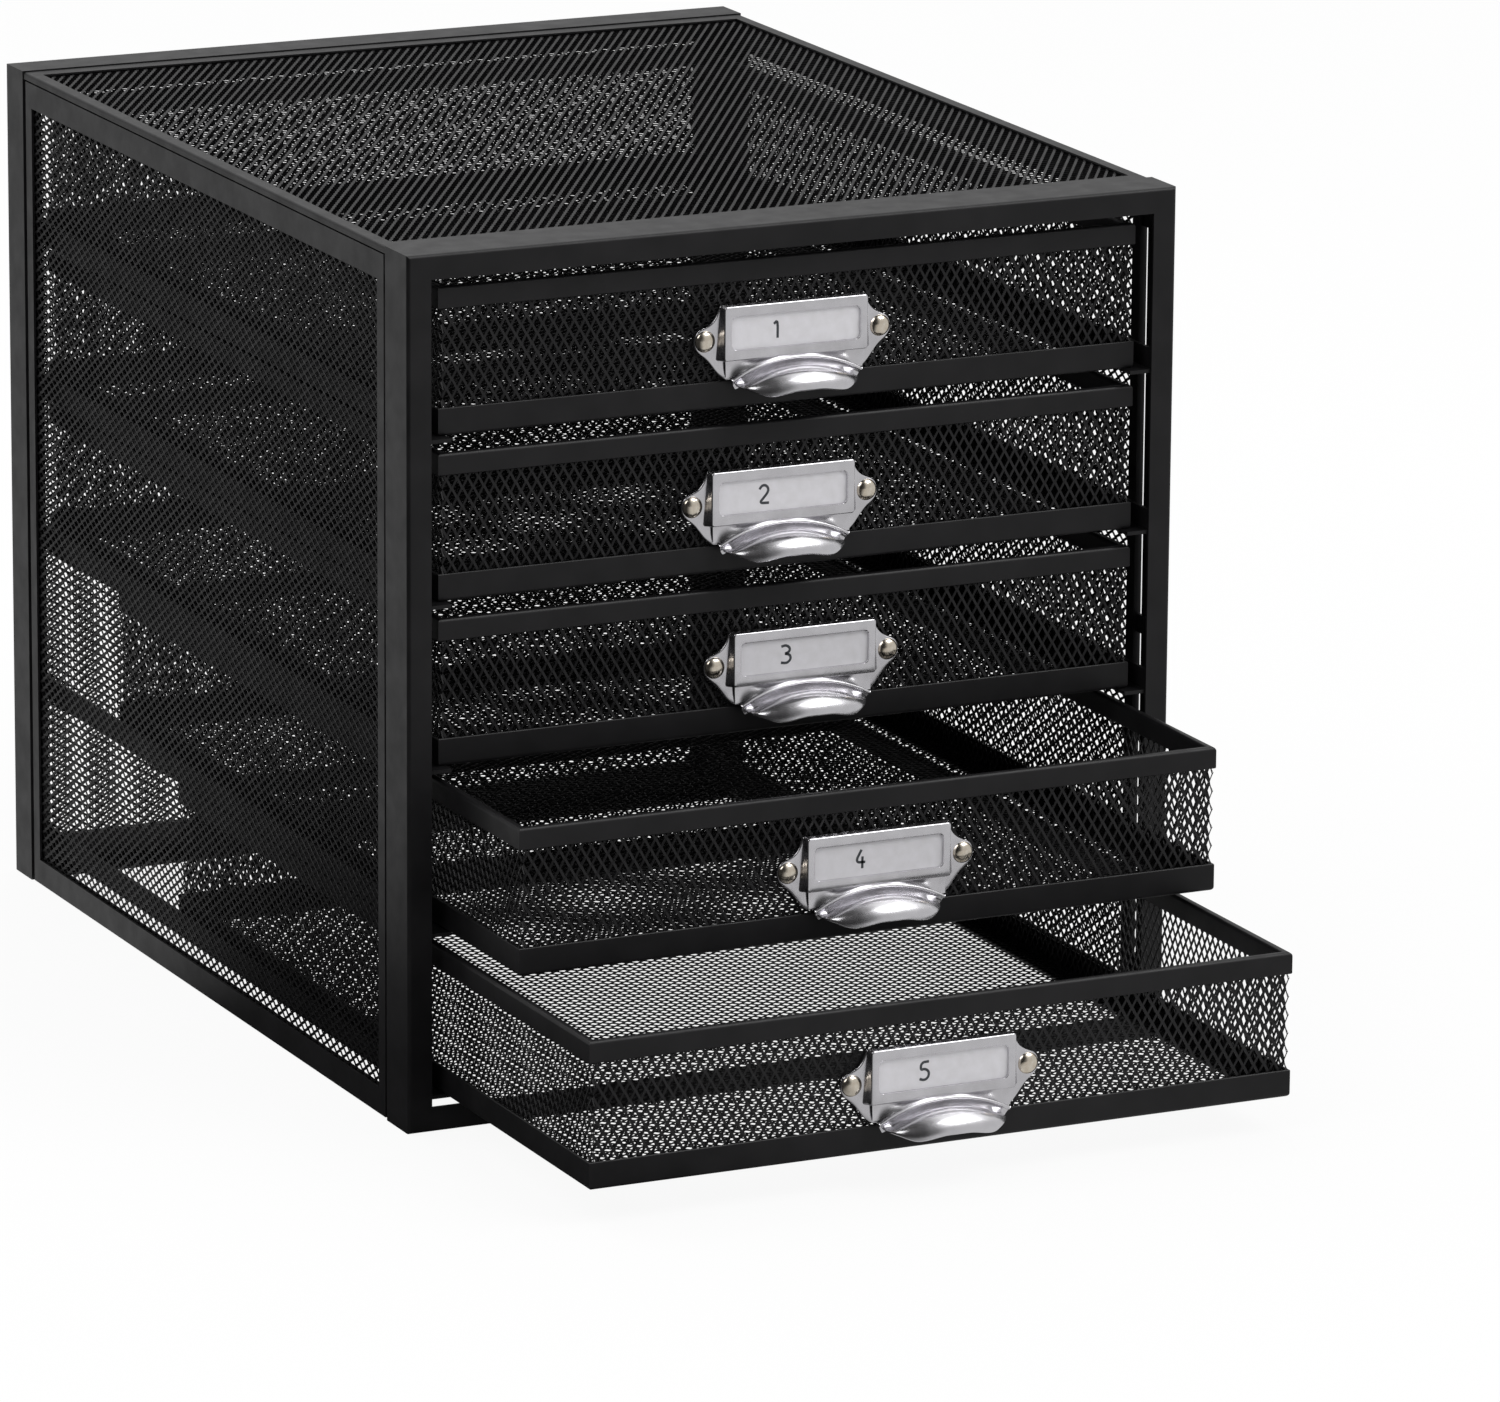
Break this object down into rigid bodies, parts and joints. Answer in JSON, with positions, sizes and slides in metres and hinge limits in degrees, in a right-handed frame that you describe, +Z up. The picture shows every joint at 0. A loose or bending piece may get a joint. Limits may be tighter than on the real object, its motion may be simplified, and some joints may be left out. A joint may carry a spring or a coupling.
{
  "type": "mesh drawer cabinet",
  "caption": "Black metal desktop cabinet of mesh panels with shallow mesh drawers that slide on angle runners, each with a label holder and a cup pull.",
  "frame": {"origin": "on the table top under the middle of the whole part, two drawers standing open", "axes": "+X to the right along the front, +Y from the front to the back, +Z up"},
  "size_m": [0.265, 0.4616, 0.28],
  "materials": {
    "frame": "satin black powder coat",
    "mesh": "satin black powder coat on expanded metal",
    "drawer_edging": "satin black powder coat",
    "pull": "polished nickel plate, slightly worn",
    "rivet": "polished",
    "card": "matte card"
  },
  "bodies": {
    "cabinet": {"front_left_post": "frame", "front_right_post": "frame", "front_top_rail": "frame", "front_bottom_rail": "frame", "rear_left_post": "frame", "rear_right_post": "frame", "rear_top_rail": "frame", "rear_bottom_rail": "frame", "left_panel_frame": "frame", "left_panel_mesh": "mesh", "right_panel_frame": "frame", "right_panel_mesh": "mesh", "top_panel_frame": "frame", "top_panel_mesh": "mesh", "rear_panel_frame": "frame", "rear_panel_mesh": "mesh", "panel_tabs": "frame", "runner_1_left": "frame", "runner_1_right": "frame", "runner_2_left": "frame", "runner_2_right": "frame", "runner_3_left": "frame", "runner_3_right": "frame", "runner_4_left": "frame", "runner_4_right": "frame", "runner_5_left": "frame", "runner_5_right": "frame"},
    "drawer_1": {"drawer_1_rim": "drawer_edging", "drawer_1_basket": "mesh", "drawer_1_band": "drawer_edging", "drawer_1_pull": "pull", "drawer_1_card": "card", "drawer_1_rivets": "rivet"},
    "drawer_2": {"drawer_2_rim": "drawer_edging", "drawer_2_basket": "mesh", "drawer_2_band": "drawer_edging", "drawer_2_pull": "pull", "drawer_2_card": "card", "drawer_2_rivets": "rivet"},
    "drawer_3": {"drawer_3_rim": "drawer_edging", "drawer_3_basket": "mesh", "drawer_3_band": "drawer_edging", "drawer_3_pull": "pull", "drawer_3_card": "card", "drawer_3_rivets": "rivet"},
    "drawer_4": {"drawer_4_rim": "drawer_edging", "drawer_4_basket": "mesh", "drawer_4_band": "drawer_edging", "drawer_4_pull": "pull", "drawer_4_card": "card", "drawer_4_rivets": "rivet"},
    "drawer_5": {"drawer_5_rim": "drawer_edging", "drawer_5_basket": "mesh", "drawer_5_band": "drawer_edging", "drawer_5_pull": "pull", "drawer_5_card": "card", "drawer_5_rivets": "rivet"}
  },
  "joints": [
    {"name": "drawer_1_slide", "type": "slide", "parent": "cabinet", "child": "drawer_1", "axis": [0, -1, 0], "range_m": [0, 0.22]},
    {"name": "drawer_2_slide", "type": "slide", "parent": "cabinet", "child": "drawer_2", "axis": [0, -1, 0], "range_m": [0, 0.22]},
    {"name": "drawer_3_slide", "type": "slide", "parent": "cabinet", "child": "drawer_3", "axis": [0, -1, 0], "range_m": [0, 0.22]},
    {"name": "drawer_4_slide", "type": "slide", "parent": "cabinet", "child": "drawer_4", "axis": [0, -1, 0], "range_m": [-0.058, 0.162]},
    {"name": "drawer_5_slide", "type": "slide", "parent": "cabinet", "child": "drawer_5", "axis": [0, -1, 0], "range_m": [-0.1135, 0.1065]}
  ]
}
